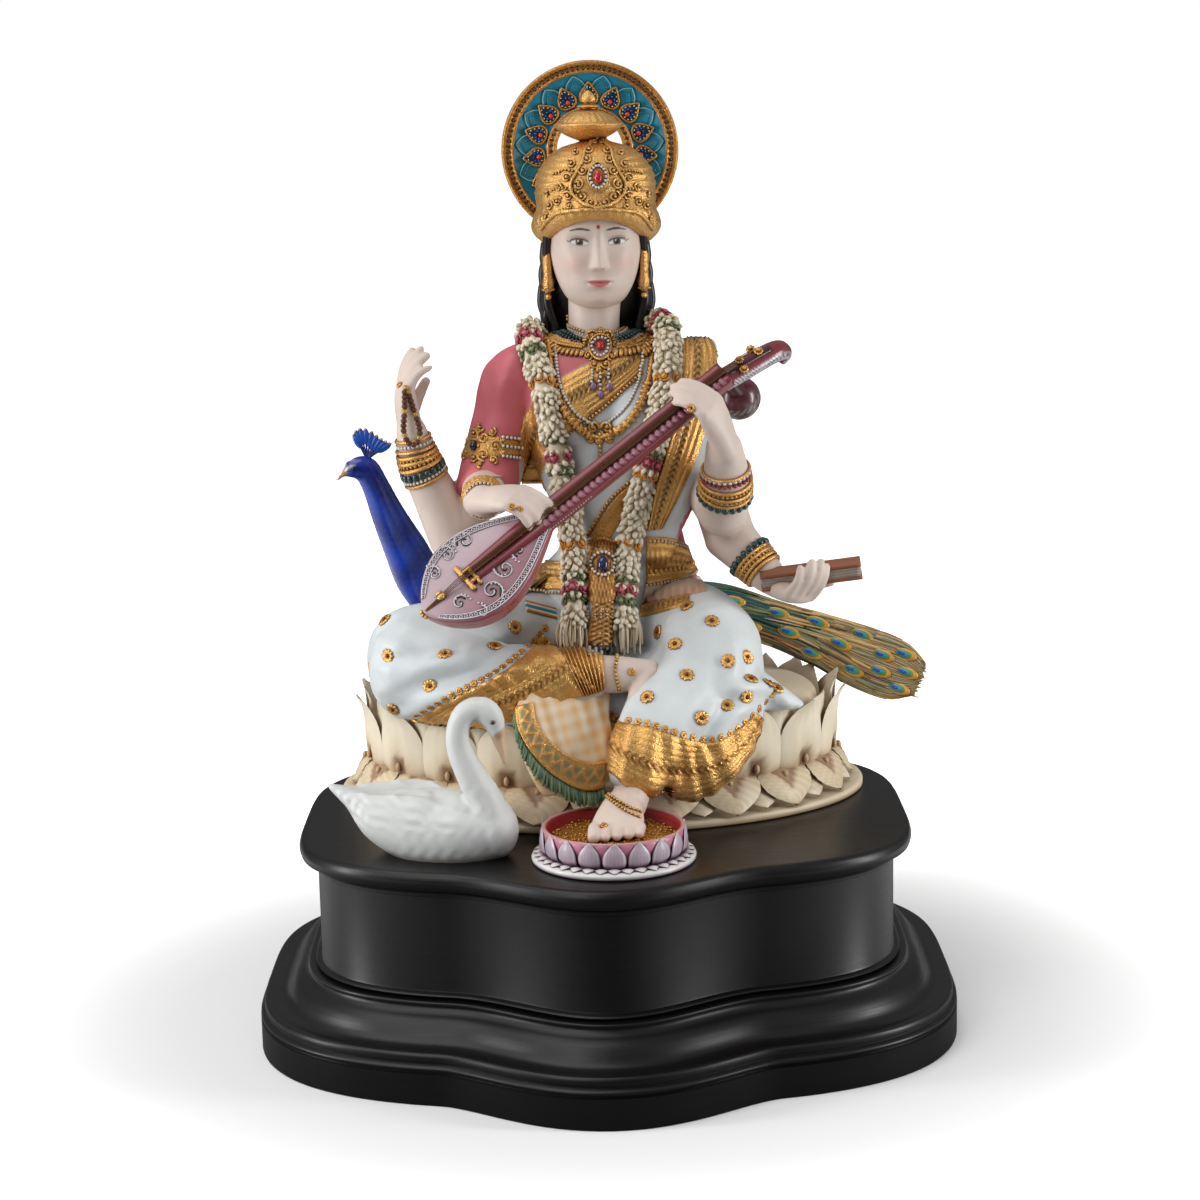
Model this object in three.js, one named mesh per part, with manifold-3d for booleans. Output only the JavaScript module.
// Seated Saraswati in painted porcelain on a dark stained wood plinth.
// Millimetres, +Z up, the viewer's right is +X and the front is -Y.
// The origin is on the floor under the middle of the plinth.

import * as THREE from 'three';
import { mergeVertices } from 'three/addons/utils/BufferGeometryUtils.js';
import Module from 'manifold-3d';

const wasm = await Module();
wasm.setup();

// Driving dimensions of the wood plinth
const DIE_HALF_WIDTH = 182;
const DIE_HALF_DEPTH = 136;
const FRONT_BOW = 36;
const BOW_HALF_SPAN = 95;
const FRONT_POWER = 2.5;
const SIDE_POWER = 4;
const FOOT_OVERHANG = 40;
const FOOT_FACE_HEIGHT = 24;
const FOOT_HEIGHT = 53;
const DIE_HEIGHT = 63;
const CAP_OVERHANG = 11;
const CAP_HEIGHT = 17.4;
const PLINTH_SIDES = 38;

// Gap between pieces that touch
const GAP = 0.3;

// Driving dimensions of the lotus throne
const THRONE_X = -1;
const THRONE_Y = 56;
const THRONE_HALF_WIDTH = 173;
const THRONE_HALF_DEPTH = 118;
const THRONE_PLATE = 5;
const SEAT_HEIGHT = 68;
const PETALS = 20;

// Driving dimensions of the figure and of what it carries
const FIGURE_HEIGHT = 387;
const HALO_RADIUS = 57.5;
const HALO_HOLE_RADIUS = 24;
const HALO_THICKNESS = 7;
const HALO_RIM = 5;
const VEENA_NECK_LENGTH = 141;
const VEENA_NECK_WIDTH = 16.5;
const VEENA_NECK_DEPTH = 9;
const VEENA_HEAD_LENGTH = 47;
const VEENA_HEAD_TILT = 15;
const VEENA_BOWL_LENGTH = 108;
const VEENA_BOWL_WIDTH = 62;
const VEENA_BOWL_DEPTH = 34;
const VEENA_GOURD_DIAMETER = 28;
const BOOK_LENGTH = 63;
const BOOK_WIDTH = 13;
const BOOK_THICKNESS = 11.5;
const BEAD_DIAMETER = 4;
const HAND_SIZE = 1.22;

// Driving dimensions of the birds and of the foot dish
const PEACOCK_LENGTH = 400;
const SWAN_LENGTH = 110;
const DISH_RADIUS = 50;
const DISH_RIM_RADIUS = 44;
const DISH_RIM_HEIGHT = 6.5;
const DISH_WALL = 4;
const DISH_PLATE = 4;
const DISH_PETALS = 18;

// Heights that follow from the driving dimensions
const dieBottom = FOOT_HEIGHT + GAP;
const capBottom = dieBottom + DIE_HEIGHT + GAP;
const plinthTop = capBottom + CAP_HEIGHT;
const porcelainBottom = plinthTop + GAP;
const seat = porcelainBottom + SEAT_HEIGHT;

const TURN = Math.PI * 2;
const vec = (x, y, z) => new THREE.Vector3(x, y, z);
const unit = (x, y, z) => vec(x, y, z).normalize();
const mix = THREE.MathUtils.lerp;

// Closed meshes from rings and grids of points

function solid(points, triangles) {
  const geometry = new THREE.BufferGeometry();
  geometry.setAttribute('position', new THREE.Float32BufferAttribute(points.flatMap((p) => p.toArray()), 3));
  geometry.setIndex(triangles.flat());
  return solidOf(geometry);
}

function solidOf(geometry) {
  const bare = geometry.clone();
  bare.deleteAttribute('normal');
  bare.deleteAttribute('uv');
  const merged = mergeVertices(bare, 1e-4);
  const index = merged.index.array;
  const position = merged.attributes.position;
  const kept = [];
  let volume = 0;
  for (let i = 0; i < index.length; i += 3) {
    const [a, b, c] = index.slice(i, i + 3);
    if (a === b || b === c || c === a) {
      continue;
    }
    kept.push(a, b, c);
    const [p, q, r] = [a, b, c].map((n) => vec().fromBufferAttribute(position, n));
    volume += p.dot(q.cross(r));
  }
  if (volume < 0) {
    kept.reverse();
  }
  const triVerts = Uint32Array.from(kept);
  return new wasm.Manifold(new wasm.Mesh({ numProp: 3, vertProperties: position.array, triVerts }));
}

// A skin over rings that all have the same number of points, closed by a point at each end
function ringSolid(rings, startPole, endPole) {
  const sides = rings[0].length;
  const points = [...rings.flat(), startPole, endPole];
  const start = rings.length * sides;
  const triangles = [];
  for (let j = 0; j < sides; j += 1) {
    const next = (j + 1) % sides;
    triangles.push([start, next, j]);
    for (let i = 0; i < rings.length - 1; i += 1) {
      const a = i * sides;
      const b = a + sides;
      triangles.push([a + j, a + next, b + next], [a + j, b + next, b + j]);
    }
    const last = (rings.length - 1) * sides;
    triangles.push([start + 1, last + j, last + next]);
  }
  return solid(points, triangles);
}

const centreOf = (ring) => ring.reduce((sum, p) => sum.add(p), vec(0, 0, 0)).divideScalar(ring.length);
const flatRingSolid = (rings) => ringSolid(rings, centreOf(rings[0]), centreOf(rings.at(-1)));

// A limb, fold or cord: stations are [x, y, z, half width, half depth] along a smooth path, across is
// the direction in which the half width is measured, and nothing goes below the floor
function limb(stations, form = {}) {
  const { sides = 8, across = [1, 0, 0], round = false, grow = 0, scale = figureScale, floor = -Infinity } = form;
  const path = new THREE.CatmullRomCurve3(stations.map(([x, y, z]) => vec(x, y, z)), false, 'catmullrom');
  const hint = vec(...across);
  const ringAt = (i, shrink, reach) => {
    const [, , , w, d = w] = stations[i];
    const tangent = path.getTangent(i / (stations.length - 1));
    const wide = hint.clone().addScaledVector(tangent, -hint.dot(tangent)).normalize();
    const deep = tangent.clone().cross(wide);
    const shift = reach * (Math.min(w, d) * scale + grow);
    const centre = vec(...stations[i].slice(0, 3)).multiplyScalar(scale).addScaledVector(tangent, shift);
    return Array.from({ length: sides }, (_, j) => {
      const angle = (TURN * (j + 0.5)) / sides;
      const point = centre.clone()
        .addScaledVector(wide, Math.cos(angle) * (w * scale + grow) * shrink)
        .addScaledVector(deep, Math.sin(angle) * (d * scale + grow) * shrink);
      return point.setZ(Math.max(point.z, floor));
    });
  };
  const last = stations.length - 1;
  const rings = stations.map((_, i) => ringAt(i, 1, 0));
  if (round) {
    rings.unshift(ringAt(0, 0.75, -0.55));
    rings.push(ringAt(last, 0.75, 0.55));
  }
  const tip = round ? 0.85 : 0.5;
  return ringSolid(rings, centreOf(ringAt(0, 0.1, -tip)), centreOf(ringAt(last, 0.1, tip)));
}

const join = (solids) => wasm.Manifold.union(solids);

function without(body, cutters) {
  return cutters.reduce((rest, cutter) => rest.subtract(cutter), body);
}

function meshOf(name, body, color, roughness, metalness = 0) {
  const { vertProperties, triVerts } = body.getMesh();
  const geometry = new THREE.BufferGeometry();
  geometry.setAttribute('position', new THREE.BufferAttribute(vertProperties, 3));
  geometry.setIndex(new THREE.BufferAttribute(triVerts, 1));
  geometry.computeVertexNormals();
  const mesh = new THREE.Mesh(geometry, new THREE.MeshStandardMaterial({ color, roughness, metalness }));
  mesh.name = name;
  return mesh;
}

// Plinth: one plan, a rounded square with a bow at the front and the back, moulded in three members

function planPoint(turn) {
  const x = DIE_HALF_WIDTH * Math.sign(Math.cos(turn)) * Math.abs(Math.cos(turn)) ** (2 / FRONT_POWER);
  const y = DIE_HALF_DEPTH * Math.sign(Math.sin(turn)) * Math.abs(Math.sin(turn)) ** (2 / SIDE_POWER);
  const reach = Math.min(Math.abs(x) / BOW_HALF_SPAN, 1);
  const bow = (FRONT_BOW * (1 + Math.cos(Math.PI * reach))) / 2;
  return vec(x, y + Math.sign(y) * bow, 0);
}

const PLAN_POINTS = 720;
const finePlan = Array.from({ length: PLAN_POINTS }, (_, i) => planPoint((TURN * i) / PLAN_POINTS - Math.PI / 2));
const planCurve = new THREE.CatmullRomCurve3(finePlan, true);

// Points of the plan moved out from the die by a moulding's overhang
function planRing(overhang, z) {
  return Array.from({ length: PLINTH_SIDES }, (_, i) => {
    const t = i / PLINTH_SIDES;
    const tangent = planCurve.getTangentAt(t);
    const point = planCurve.getPointAt(t);
    return vec(point.x + tangent.y * overhang, point.y - tangent.x * overhang, z);
  });
}

const member = (profile) => flatRingSolid(profile.map(([overhang, z]) => planRing(overhang, z)));

function plinthFoot() {
  const slope = FOOT_HEIGHT - FOOT_FACE_HEIGHT;
  const rise = (share) => FOOT_FACE_HEIGHT + slope * share;
  return member([
    [FOOT_OVERHANG, 0],
    [FOOT_OVERHANG, FOOT_FACE_HEIGHT],
    [FOOT_OVERHANG * 0.95, rise(0.14)],
    [FOOT_OVERHANG * 0.86, rise(0.24)],
    [FOOT_OVERHANG * 0.79, rise(0.26)],
    [FOOT_OVERHANG * 0.5, rise(0.5)],
    [FOOT_OVERHANG * 0.28, rise(0.78)],
    [FOOT_OVERHANG * 0.23, rise(0.9)],
    [FOOT_OVERHANG * 0.16, rise(1)],
  ]);
}

function plinthDie() {
  return member([[0, dieBottom], [0, dieBottom + DIE_HEIGHT]]);
}

function plinthCap() {
  const rise = (share) => capBottom + CAP_HEIGHT * share;
  return member([
    [CAP_OVERHANG * 0.1, rise(0)],
    [CAP_OVERHANG * 0.3, rise(0.3)],
    [CAP_OVERHANG * 0.85, rise(0.46)],
    [CAP_OVERHANG, rise(0.62)],
    [CAP_OVERHANG * 0.95, rise(0.88)],
    [CAP_OVERHANG * 0.75, rise(1)],
  ]);
}

// A row of petals round a rim: how far a place on it is from a petal's edge, 0, to its middle line, 1
function petalShare(place, count, shift) {
  const petal = place * count + shift;
  return 1 - Math.abs(2 * (petal - Math.floor(petal)) - 1);
}

// Lotus throne: a skin through rings that follow the tips and the swell of two rows of petals,
// which are evenly spaced along the oval of the plate

const throneOval = new THREE.EllipseCurve(0, 0, THRONE_HALF_WIDTH, THRONE_HALF_DEPTH);

function throneRing(sides, fit, grow, at) {
  return Array.from({ length: sides }, (_, j) => {
    const angle = TURN * throneOval.getUtoTmapping(j / sides);
    const [share, height] = at(j / sides);
    return vec(
      THRONE_X + (THRONE_HALF_WIDTH * share * fit + grow) * Math.cos(angle),
      THRONE_Y + (THRONE_HALF_DEPTH * share * fit + grow) * Math.sin(angle),
      porcelainBottom + height,
    );
  });
}

function lotusThrone() {
  const tall = SEAT_HEIGHT - THRONE_PLATE;
  const up = (share) => THRONE_PLATE + tall * share;
  const rows = [
    () => [1, 0],
    () => [1, THRONE_PLATE],
    (low) => [0.9 + 0.08 * low, up(0.02)],
    (low) => [0.885 + 0.055 * low ** 0.5, up(0.1 + 0.1 * low)],
    (low) => [0.845 + 0.02 * low, up(0.38)],
    (low, high) => [0.865 + 0.055 * high ** 0.5, up(0.7)],
    (low, high) => [0.875 + 0.085 * high, up(0.86 + 0.2 * high)],
    () => [0.83, SEAT_HEIGHT],
  ];
  return flatRingSolid(rows.map((row) => throneRing(PETALS * 4, 1, 0, (place) => {
    return row(petalShare(place, PETALS, 0.5), petalShare(place, PETALS, 0));
  })));
}

// The plain body that the lotus fills, round its petals, for what rests on it
function throneSpace(grow) {
  const sides = 24;
  const tall = SEAT_HEIGHT - THRONE_PLATE;
  const rows = [
    [1, -grow],
    [1, THRONE_PLATE + grow],
    [0.99, THRONE_PLATE + tall * 0.1],
    [0.95, THRONE_PLATE + tall * 0.24],
    [0.91, THRONE_PLATE + tall * 0.44],
    [0.93, THRONE_PLATE + tall * 0.72],
    [0.965, THRONE_PLATE + tall * 1.06 + grow],
    [0.86, THRONE_PLATE + tall * 1.06 + grow],
    [0.82, SEAT_HEIGHT + grow],
  ];
  const fit = 1 / Math.cos(Math.PI / sides);
  return flatRingSolid(rows.map((row) => throneRing(sides, fit, grow, () => row)));
}

// The figure is modelled at its full height about a point on the seat, and scaled to FIGURE_HEIGHT
const figureScale = FIGURE_HEIGHT / 387;

// Foot dish: a small lotus on a plate, as high as the sole that stands in it
const soleHeight = -53.5 * figureScale;
const dishFloor = SEAT_HEIGHT + soleHeight - GAP;
const dishX = 5 * figureScale;
const dishY = Math.min(-110 * figureScale, THRONE_Y - THRONE_HALF_DEPTH - GAP - DISH_RADIUS);

function turned(profile, sides) {
  const outline = profile.map(([radius, height]) => new THREE.Vector2(Math.max(radius, 0), height));
  const geometry = new THREE.LatheGeometry(outline, sides);
  geometry.rotateX(Math.PI / 2);
  return solidOf(geometry);
}

function footLotus(grow = 0) {
  const top = dishFloor + DISH_RIM_HEIGHT;
  const petalFoot = DISH_PLATE + 1.5;
  const rows = [
    () => [DISH_RADIUS + grow, -grow],
    () => [DISH_RADIUS + grow, DISH_PLATE + grow],
    (petal) => [DISH_RIM_RADIUS * 0.88 + 3 * petal + grow, petalFoot + grow],
    (petal) => [DISH_RIM_RADIUS + petal + grow, top - 2 + 2 * petal + grow],
    (petal) => [DISH_RIM_RADIUS - DISH_WALL - grow, top - 2 + 2 * petal + grow],
    () => [DISH_RIM_RADIUS - DISH_WALL - 2 - grow, dishFloor + grow],
  ];
  const rings = rows.map((row) => Array.from({ length: DISH_PETALS * 2 }, (_, j) => {
    const angle = (TURN * j) / (DISH_PETALS * 2);
    const [radius, height] = row(petalShare(angle / TURN, DISH_PETALS, 0.5));
    return vec(radius * Math.cos(angle), radius * Math.sin(angle), height);
  }));
  return flatRingSolid(rings).translate([dishX, dishY, porcelainBottom]);
}

// Halo: an open ring with a raised rim, upright behind the crown
function halo(grow = 0) {
  const inner = HALO_HOLE_RADIUS - grow;
  const outer = HALO_RADIUS + grow;
  const half = HALO_THICKNESS / 2 + grow;
  const field = half * 0.6;
  const profile = [
    [inner, -half],
    [outer, -half],
    [outer, half],
    [outer - HALO_RIM, half],
    [outer - HALO_RIM * 1.4, field],
    [inner + HALO_RIM, field],
    [inner, half],
    [inner, -half],
  ];
  return turned(profile, 26)
    .rotate([90, 0, 0])
    .translate([0, 91.5 * figureScale, 348.5 * figureScale]);
}

// Veena: a lute with a pear bowl, a long neck, a scroll head and a second gourd behind the head.
// Its frame has X along the neck, Y across it and Z out of the soundboard, from the bowl's middle.

function veenaPlace() {
  const along = unit(193, 66, 139);
  const face = vec(-0.22, -0.82, 0.53);
  face.addScaledVector(along, -face.dot(along)).normalize();
  const across = face.clone().cross(along);
  const place = new THREE.Matrix4().makeBasis(along, across, face);
  return place.setPosition(-78 * figureScale, -68 * figureScale, 98 * figureScale);
}

function veena(grow = 0) {
  const halfWidth = VEENA_BOWL_WIDTH / 2;
  const bottom = -VEENA_BOWL_LENGTH * 0.34;
  const shoulder = bottom + VEENA_BOWL_LENGTH;
  const bowlRing = (share) => {
    const pear = Math.sin(Math.PI * Math.min(share * 1.02, 1) ** 0.74) * mix(1, 0.93, share);
    const width = Math.max(pear * halfWidth, VEENA_NECK_WIDTH * 0.5 * share) + grow;
    const depth = Math.max(pear ** 0.8 * VEENA_BOWL_DEPTH, VEENA_NECK_DEPTH * share) + grow;
    const x = mix(bottom, shoulder, share);
    const back = Array.from({ length: 5 }, (_, k) => {
      const angle = (Math.PI * (k + 1)) / 6;
      return vec(x, Math.cos(angle) * width * 0.99, -3 - Math.sin(angle) * depth);
    });
    const face = [vec(x, -width, -3), vec(x, -width * 0.92, 1 + grow), vec(x, width * 0.92, 1 + grow)];
    return [vec(x, width, -3), ...back, ...face];
  };
  const bowl = flatRingSolid([0.02, 0.12, 0.28, 0.5, 0.74, 0.9, 1].map(bowlRing));
  const half = VEENA_NECK_WIDTH / 2 + grow;
  const barRing = (x, width, front, back) => [
    vec(x, -width, back), vec(x, width, back), vec(x, width, front), vec(x, -width, front),
  ];
  const nut = shoulder - 12 + VEENA_NECK_LENGTH;
  const neck = flatRingSolid([
    barRing(-6, half * 0.8, 3 + grow, -1),
    barRing(shoulder - 22, half, 3 + grow, -VEENA_NECK_DEPTH - grow),
    barRing(nut + 3, half, 3 + grow, -VEENA_NECK_DEPTH - grow),
  ]);
  const drop = Math.tan((VEENA_HEAD_TILT * Math.PI) / 180);
  const along = (share) => nut + VEENA_HEAD_LENGTH * share;
  const headRing = (share, width, depth, sink = 0) => {
    const top = -VEENA_HEAD_LENGTH * share * drop - sink;
    return [along(share), 0, top - depth, width, depth];
  };
  const scroll = limb([
    headRing(-0.1, half * 0.95, 5),
    headRing(0.35, half * 0.95, 6),
    headRing(0.8, half * 0.9, 6, 1),
    headRing(0.98, half * 0.85, 6, 4),
    headRing(0.92, half * 0.8, 4, 12),
  ], { sides: 8, across: [0, 1, 0], scale: 1, grow });
  const gourdRadius = VEENA_GOURD_DIAMETER / 2 + grow;
  const gourdX = nut + 9;
  const gourdDepth = VEENA_NECK_DEPTH + 31;
  const gourdShape = new THREE.SphereGeometry(gourdRadius, 9, 6);
  gourdShape.translate(gourdX, 1, -gourdDepth);
  const stem = limb([
    [gourdX - 6, 0, -VEENA_NECK_DEPTH + 3, 5],
    [gourdX, 1, -gourdDepth + 8, 6],
  ], { sides: 5, scale: 1, grow });
  const all = join([bowl, neck, scroll, solidOf(gourdShape), stem]);
  return all.transform(veenaPlace().toArray());
}

// Bundle of palm leaves between two boards, tied with a cord
function palmLeafBook(grow = 0) {
  const box = (length, width, height) => {
    const shape = new THREE.BoxGeometry(length + 2 * grow, width + 2 * grow, height + 2 * grow);
    return solidOf(shape);
  };
  const bundle = join([
    box(BOOK_LENGTH, BOOK_WIDTH * 0.92, BOOK_THICKNESS * 0.6),
    box(BOOK_LENGTH + 1, BOOK_WIDTH, BOOK_THICKNESS * 0.24).translate([0, 0, BOOK_THICKNESS * 0.38]),
    box(BOOK_LENGTH + 1, BOOK_WIDTH, BOOK_THICKNESS * 0.24).translate([0, 0, -BOOK_THICKNESS * 0.38]),
    box(4, BOOK_WIDTH + 2, BOOK_THICKNESS + 2),
  ]);
  return bundle.rotate([12, -7, -4]).translate([133.7 * figureScale, -7 * figureScale, 83.5 * figureScale]);
}

// Loop of beads that hangs from the raised hand
const beadLoop = new THREE.CatmullRomCurve3([
  vec(-119, 5, 206), vec(-120, 4, 192), vec(-121, 3, 179), vec(-118, 4, 171),
  vec(-113, 4, 171), vec(-111, 5, 179), vec(-114, 6, 190),
].map((p) => p.multiplyScalar(figureScale)), true);

function prayerBeads(grow = 0) {
  const count = 2 * Math.round(beadLoop.getLength() / (BEAD_DIAMETER * 1.1));
  const stations = Array.from({ length: count }, (_, k) => {
    const girth = BEAD_DIAMETER * (k % 2 ? 0.18 : 0.5);
    return [...beadLoop.getPointAt(k / count).toArray(), girth];
  });
  return limb(stations, { sides: 4, across: [0, 1, 0], scale: 1, grow });
}

// Peacock: it stands on the seat behind the figure, its neck up at one side, its train over the other
function peacock(grow = 0) {
  const scale = PEACOCK_LENGTH / 400;
  const form = { grow, scale };
  const body = limb([
    [55, 120, 35, 24, 22],
    [2, 124, 37, 30, 28],
    [-58, 116, 39, 30, 28],
    [-97, 102, 49, 25, 24],
    [-118, 86, 68, 19, 18],
    [-127, 70, 93, 15.5, 15],
    [-137, 57, 117, 12, 12],
    [-145, 48, 138, 9.5, 9.5],
    [-150, 44, 151, 9.5, 9.5],
    [-159, 40, 150, 7.5, 7],
  ], { ...form, sides: 7, across: [0, 1, 0.2], round: true });
  const beak = limb([[-160, 39, 150, 5, 4], [-169, 35, 143, 1, 1]], { ...form, sides: 5, across: [0, 1, 0] });
  const crest = limb([[-149, 45, 156, 3, 3], [-142, 46, 162, 9, 2.5], [-135, 47, 168, 14, 2.5]],
    { ...form, sides: 6, across: [0.7, 0, -0.7] });
  const train = limb([
    [32, 121, 39, 20, 14],
    [83, 118, 36, 18, 11],
    [115, 110, 29, 15, 8],
    [145, 99, 20, 18, 7],
    [176, 86, 8, 22, 6],
    [198, 74, 1, 21, 5],
    [212, 66, -3, 12, 4],
  ], { ...form, sides: 7, across: [0, 0.4, 1] });
  return join([body, beak, crest, train]).translate([0, 0, seat]);
}

// Swan: it swims at the foot of the lotus, its neck bent down over its breast
function swan() {
  const scale = SWAN_LENGTH / 110;
  const body = limb([
    [-62, 8, 40, 3, 2],
    [-48, 6, 33, 11, 7],
    [-30, 3, 22, 21, 17],
    [-5, 0, 15, 27, 24],
    [20, -6, 14, 26, 24],
    [38, -12, 17, 17, 20],
  ], { scale, sides: 10, across: [0, 1, 0], round: true, floor: 0 });
  const wings = [1, -1].map((side) => limb([
    [-56, 6 + 3 * side, 36, 3, 2],
    [-34, 4 + 14 * side, 31, 9, 4],
    [-8, 1 + 20 * side, 26, 14, 5],
    [14, -3 + 17 * side, 23, 8, 5],
  ], { scale, sides: 5, across: [0, 0.5, 1] }));
  const neck = limb([
    [37, -13, 16, 14, 15],
    [34, -14, 33, 11, 12],
    [25, -14, 51, 9.5, 9.5],
    [18, -13, 67, 8.5, 8.5],
    [17, -13, 80, 8, 8],
    [23, -12, 90, 8, 8],
    [32, -11, 91, 8.5, 8.5],
    [40, -12, 82, 8, 7],
    [43, -13, 69, 4, 3.2],
    [45.5, -15, 57, 1.5, 1.5],
  ], { scale, sides: 7, across: [0, 1, 0] });
  return join([body, ...wings, neck]).translate([-105, -90, porcelainBottom]);
}

// Figure: cloth and limbs

function legs() {
  const rightThigh = limb([[-10, 62, 36, 36], [-66, 30, 37, 34], [-118, -8, 34, 35]],
    { across: [0, 0, 1], round: true });
  const rightShin = limb([
    [-119, -16, 32, 35, 32],
    [-74, -36, 24, 28, 26],
    [-33, -45, 25, 24, 18],
    [-1, -46, 31, 14, 12],
  ], { across: [0, 0, 1], round: true });
  const leftThigh = limb([[34, 58, 38, 36], [57, 22, 39, 36], [69, -10, 36, 34]], { round: true });
  const leftShin = limb([
    [69, -12, 34, 34, 33],
    [64, -34, 12, 42, 27],
    [57, -49, -7, 48, 22],
    [52, -59, -20, 50, 18],
  ], { across: [0.88, 0.4, 0.26], sides: 10, round: true });
  const sideCloth = limb([[73, -10, 21, 20, 24], [119, -20, 10, 7, 12]], { across: [0, 0, 1], sides: 6 });
  const clothEnd = limb([
    [-20, -48, 26, 26, 8],
    [-24, -62, 2, 31, 8],
    [-20, -71, -18, 30, 7],
    [-17, -76, -37, 23, 5],
  ], { across: [1, 0.1, -0.4], sides: 6 });
  return [rightThigh, rightShin, leftThigh, leftShin, sideCloth, clothEnd];
}

function feet() {
  const leftAnkle = limb([[32, -64, -10, 15], [19, -82, -26, 11], [13, -92, -43, 11.5]]);
  const leftFoot = limb([[12, -88, -45.5, 11.5, 8.5], [9, -104, -44, 15, 9.5], [7, -118, -48.5, 17, 6]]);
  const rightFoot = limb([[-3, -46, 31, 11, 11], [12, -46, 28, 12, 11], [32, -42, 26, 10, 6]],
    { across: [0, 0, 1] });
  const toes = Array.from({ length: 5 }, (_, k) => {
    const x = -7 + 6.8 * k;
    const reach = [9, 9, 8, 6, 4][k];
    const girth = k === 0 ? 4 : 3;
    return limb([[x + 1, -118, -49, girth], [x, -121 - reach, -50.4, girth]], { sides: 4 });
  });
  return [leftAnkle, leftFoot, rightFoot, ...toes];
}

function torso() {
  const body = limb([
    [4, 60, 6, 84, 48],
    [12, 52, 60, 64, 42],
    [15, 42, 94, 43, 29],
    [11, 41, 124, 41, 27],
    [2, 43, 176, 49, 31],
    [2, 46, 206, 56, 27],
    [2, 51, 222, 46, 19],
  ], { sides: 10 });
  const bust = [-20, 24].map((x) => limb([[x, 30, 188, 20, 18], [x, 24, 178, 19, 18]], { sides: 8, round: true }));
  const neck = limb([[0, 52, 222, 22, 18], [0, 49, 240, 16.5, 16.5], [1, 48, 266, 17, 17]]);
  const sash = limb([[3, 6, 97, 8, 5], [2, -10, 69, 10, 5], [-1, -20, 45, 8, 5]], { sides: 5 });
  const shoulderPleats = limb([
    [51, 66, 190, 17, 7],
    [60, 54, 222, 18, 7],
    [61, 30, 211, 18, 7],
    [54, 13, 150, 17, 7],
    [33, 14, 95, 13, 6],
  ], { sides: 4, across: [1, 0.3, 0.1] });
  return [body, ...bust, neck, sash, shoulderPleats];
}

function head() {
  const rows = [
    [252, 7, 26, 40],
    [259, 17, 18, 56],
    [274, 24.5, 16.5, 73],
    [288, 28.5, 16, 82],
    [302, 29.5, 16.5, 86],
    [316, 29.5, 15.5, 87],
    [332, 24, 24, 80],
  ];
  const middle = 47;
  const sides = 10;
  const rings = rows.map(([z, half, front, back]) => Array.from({ length: sides }, (_, j) => {
    const angle = (TURN * j) / sides;
    const reach = Math.sin(angle) < 0 ? middle - front : back - middle;
    return vec(2 + half * Math.cos(angle), middle + reach * Math.sin(angle), z).multiplyScalar(figureScale);
  }));
  const nose = limb([[4, 18, 298, 2.2, 2.5], [5, 14, 286, 3, 3], [4, 13.5, 281, 4.2, 3.2]], { sides: 6 });
  const drops = [-27, 32].map((x) => limb([[x, 44, 294, 3], [x, 41, 276, 4], [x, 41, 260, 4.5]], { sides: 5 }));
  const hair = limb([
    [2, 62, 320, 31, 26],
    [2, 64, 284, 33, 25],
    [2, 71, 248, 38, 18],
    [0, 78, 210, 30, 11],
    [2, 80, 160, 20, 9],
  ], { sides: 7 });
  return [flatRingSolid(rings), nose, ...drops, hair];
}

const CROWN_SIDES = 10;

// Crown: its rim dips from the forehead to the temples and the back, with a lidded bowl on top
function crown() {
  const rows = [
    [30, 33, 308, 292],
    [40.5, 41, 315, 300],
    [37.5, 38, 322, 314],
    [38, 39, 331, 329],
    [33, 34, 342, 342],
    [24, 25, 351, 351],
    [7, 7, 358, 358],
    [22, 22, 362, 362],
    [22, 22, 365, 365],
    [12, 12, 369, 369],
    [11, 11, 373, 373],
    [4.5, 4.5, 378, 378],
  ];
  const rings = rows.map(([halfWidth, halfDepth, front, side]) => Array.from({ length: CROWN_SIDES }, (_, j) => {
    const angle = (TURN * j) / CROWN_SIDES - Math.PI / 2;
    const dip = Math.max(-Math.sin(angle), 0) ** 1.5;
    const point = vec(3 + halfWidth * Math.cos(angle), 48 + halfDepth * Math.sin(angle), mix(side, front, dip));
    return point.multiplyScalar(figureScale);
  }));
  const top = vec(3, 48, 387).multiplyScalar(figureScale);
  return ringSolid(rings, centreOf(rings[0]), top);
}

function garlands() {
  const left = [
    [-37, 55, 236, 9], [-42, 36, 234, 10], [-34, 16, 208, 10], [-27, 9, 175, 10],
    [-17, 7, 110, 9.5], [-16, -9, 68, 10], [-16, -17, 47, 11],
  ];
  const right = [
    [38, 58, 240, 9], [46, 38, 237, 10], [46, 18, 212, 10], [38, 8, 175, 10],
    [19, 5, 100, 9.5], [15, -11, 64, 10], [15, -17, 46, 11],
  ];
  return [left, right].map((stations) => limb(stations, { sides: 6 }));
}

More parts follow.
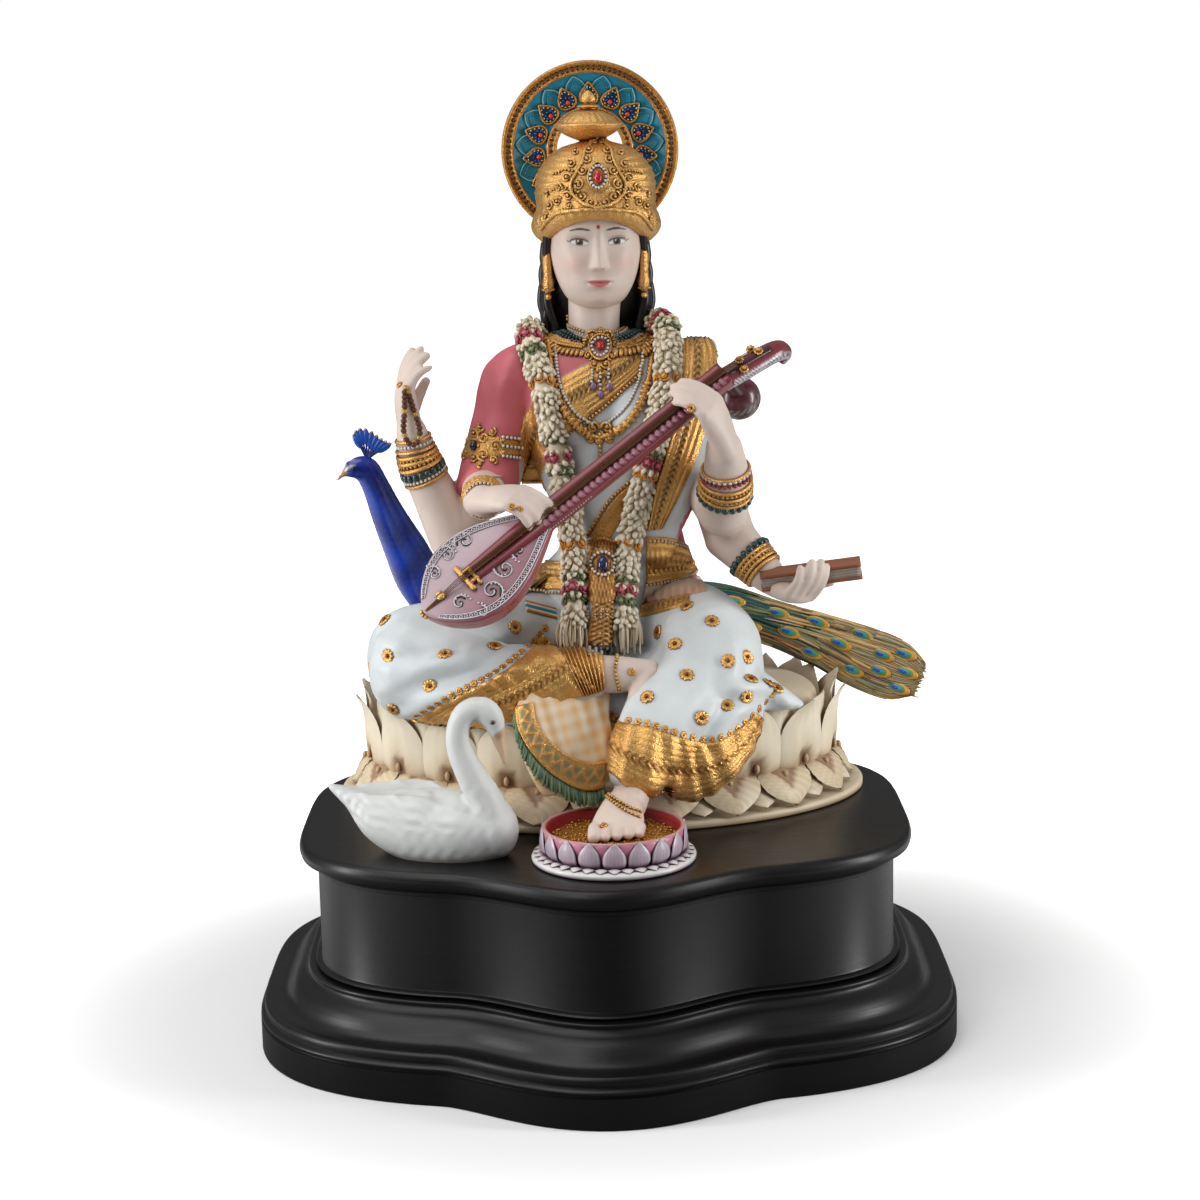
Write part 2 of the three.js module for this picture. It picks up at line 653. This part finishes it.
// Hand: a palm from the wrist and five digits, each bent by its own angles towards the palm's inner side
function hand({ wrist, aim, back, thumbSide, bends, thumb, spread = 4 }) {
  const forward = unit(...aim);
  const outer = vec(...back);
  outer.addScaledVector(forward, -outer.dot(forward)).normalize();
  const side = forward.clone().cross(outer).multiplyScalar(thumbSide);
  const start = vec(...wrist);
  const at = (f, s, o) => start.clone()
    .addScaledVector(forward, f * HAND_SIZE)
    .addScaledVector(side, s * HAND_SIZE)
    .addScaledVector(outer, o * HAND_SIZE);
  const station = (point, ...girth) => [...point.toArray(), ...girth.map((g) => g * HAND_SIZE)];
  const across = side.toArray();
  const palm = limb([
    station(at(-4, 0, 0), 8.2, 7.2),
    station(at(20, -0.5, 0), 11, 5.5),
  ], { across, sides: 6 });
  const lengths = [21, 23.5, 22, 17.5];
  const fingers = bends.map(([first, second], k) => {
    const offset = 8 - 5.3 * k;
    const direction = forward.clone().applyAxisAngle(outer, (-thumbSide * spread * (k - 1.5) * Math.PI) / 180);
    const hinge = direction.clone().cross(outer).normalize();
    let place = at(21, offset, 0);
    const stations = [station(place, 2.9)];
    [[first, 0.45, 2.7], [second, 0.5, 2.1]].forEach(([bend, share, girth]) => {
      direction.applyAxisAngle(hinge, (-bend * Math.PI) / 180);
      place = place.clone().addScaledVector(direction, lengths[k] * share * HAND_SIZE);
      stations.push(station(place, girth));
    });
    return limb(stations, { sides: 4, across });
  });
  const thumbBase = at(6, 8, -2);
  const thumbAim = vec(0, 0, 0).addScaledVector(forward, thumb[0]).addScaledVector(side, thumb[1])
    .addScaledVector(outer, thumb[2]).normalize();
  const thumbEnd = thumbBase.clone().addScaledVector(thumbAim, 21 * HAND_SIZE);
  const thumbMiddle = thumbBase.clone().lerp(thumbEnd, 0.5).addScaledVector(side, 1.5);
  const digit = limb([station(thumbBase, 4), station(thumbMiddle, 3.3), station(thumbEnd, 2.4)],
    { sides: 5, across });
  return [palm, ...fingers, digit];
}

function arms() {
  const sleeves = [
    [[-32, 54, 214, 18], [-52, 49, 205, 20, 22], [-59, 46, 180, 20.5], [-71, 38, 130, 20.5]],
    [[36, 54, 214, 18], [57, 48, 203, 21], [66, 38, 176, 21], [71, 28, 137, 19]],
  ].map((stations) => limb(stations, { sides: 7 }));
  const upperArms = [
    [[-70, 40, 140, 16], [-92, 35, 106, 15]],
    [[-72, 34, 140, 16], [-72, -4, 142, 14]],
    [[68, 30, 142, 17], [78, 6, 124, 16]],
    [[62, 48, 175, 16], [84, 22, 105, 17]],
  ].map((stations) => limb(stations, { sides: 6 }));
  const forearms = [
    [[-94, 34, 104, 15.5], [-103, 29, 131, 15], [-113, 24, 156, 12.5], [-117.7, 21, 177, 9.5]],
    [[-72, -2, 142, 14], [-71, -32, 139, 11]],
    [[79, 1, 122, 16], [80.5, -12, 146, 15], [79, -23, 168, 13]],
    [[83, 22, 105, 17], [106, 7, 82, 13.5]],
  ].map((stations) => limb(stations, { sides: 7, round: true, across: [0, 1, 0.5] }));
  const hands = [
    hand({
      wrist: [-118, 21, 178], aim: [-0.1, -0.07, 1], back: [-0.92, -0.3, 0], thumbSide: -1,
      bends: [[22, 24], [28, 32], [60, 66], [72, 78]], thumb: [0.85, 0.1, -0.6],
    }),
    hand({
      wrist: [-70, -34, 139], aim: [0.79, -0.6, 0.15], back: [-0.1, -0.35, 0.93], thumbSide: -1,
      bends: [[26, 26], [40, 34], [44, 36], [48, 38]], thumb: [0.9, 0.3, -0.5],
    }),
    hand({
      wrist: [78.5, -28, 171], aim: [-0.33, -0.25, 0.9], back: [0.66, -0.62, 0.4], thumbSide: 1,
      bends: [[38, 28], [42, 32], [44, 34], [46, 36]], thumb: [0.9, 0.2, -0.6],
    }),
    hand({
      wrist: [111, 6, 75.5], aim: [0.55, -0.82, -0.15], back: [-0.1, -0.2, -0.97], thumbSide: 1,
      bends: [[52, 34], [54, 36], [56, 38], [58, 40]], thumb: [0.7, 0.7, -0.3],
    }),
  ];
  return [...sleeves, ...upperArms, ...forearms, ...hands.flat()];
}

function goddess() {
  const forms = [...legs(), ...feet(), ...torso(), ...head(), crown(), ...garlands(), ...arms()];
  const body = join(forms).translate([0, 0, seat]);
  const carried = [halo(GAP), veena(GAP), palmLeafBook(GAP), prayerBeads(GAP)];
  const lifted = carried.map((piece) => piece.translate([0, 0, seat]));
  return without(body, [throneSpace(GAP), footLotus(GAP), peacock(GAP), ...lifted]);
}

const lift = (piece) => piece.translate([0, 0, seat]);
const throne = throneSpace(GAP);

const group = new THREE.Group();
group.add(
  meshOf('plinth_foot', plinthFoot(), 0x17100d, 0.4),
  meshOf('plinth_die', plinthDie(), 0x17100d, 0.4),
  meshOf('plinth_cap', plinthCap(), 0x1a1210, 0.4),
  meshOf('lotus_throne', lotusThrone(), 0xe2d6ba, 0.45),
  meshOf('goddess', goddess(), 0xece6df, 0.4),
  meshOf('halo', lift(halo()), 0x1d6f7c, 0.35),
  meshOf('veena', lift(veena()), 0x8e4d5d, 0.4),
  meshOf('peacock', without(peacock(), [throne]), 0x1f3f9a, 0.3),
  meshOf('swan', without(swan(), [throne]), 0xeef0ef, 0.35),
  meshOf('foot_lotus', without(footLotus(), [throne]), 0xc9a7b8, 0.35),
  meshOf('palm_leaf_book', lift(palmLeafBook()), 0x9a6a3c, 0.5),
  meshOf('prayer_beads', lift(prayerBeads()), 0x9c7b5e, 0.4),
);

export default group;
